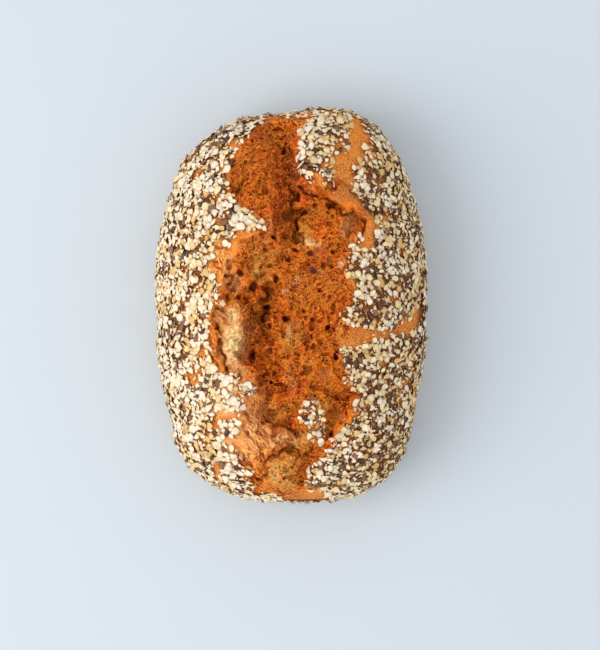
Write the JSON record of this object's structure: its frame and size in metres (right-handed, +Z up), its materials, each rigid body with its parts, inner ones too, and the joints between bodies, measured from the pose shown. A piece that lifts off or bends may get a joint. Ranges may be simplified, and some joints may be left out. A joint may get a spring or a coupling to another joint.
{
  "type": "bread loaf",
  "caption": "Small oblong multigrain loaf with a flat base, flanks covered in oat flakes and seeds, and a crust torn open along its crown.",
  "frame": {"origin": "middle of the bounding box at the flat base", "axes": "+Z up out of the base; Y along the loaf, +Y towards the end that is at the top of the picture; +X towards the flank at the right of the picture"},
  "size_m": [0.1468, 0.2138, 0.0781],
  "materials": {
    "crust": "dry baked crust, browned in the tear and tan on the flanks",
    "oat_flakes": "dry toasted oat flakes, cream to light brown",
    "seeds": "dark brown linseed and toasted bran flakes, slightly glossy"
  },
  "bodies": {
    "root": {"loaf": "crust"}
  },
  "joints": []
}
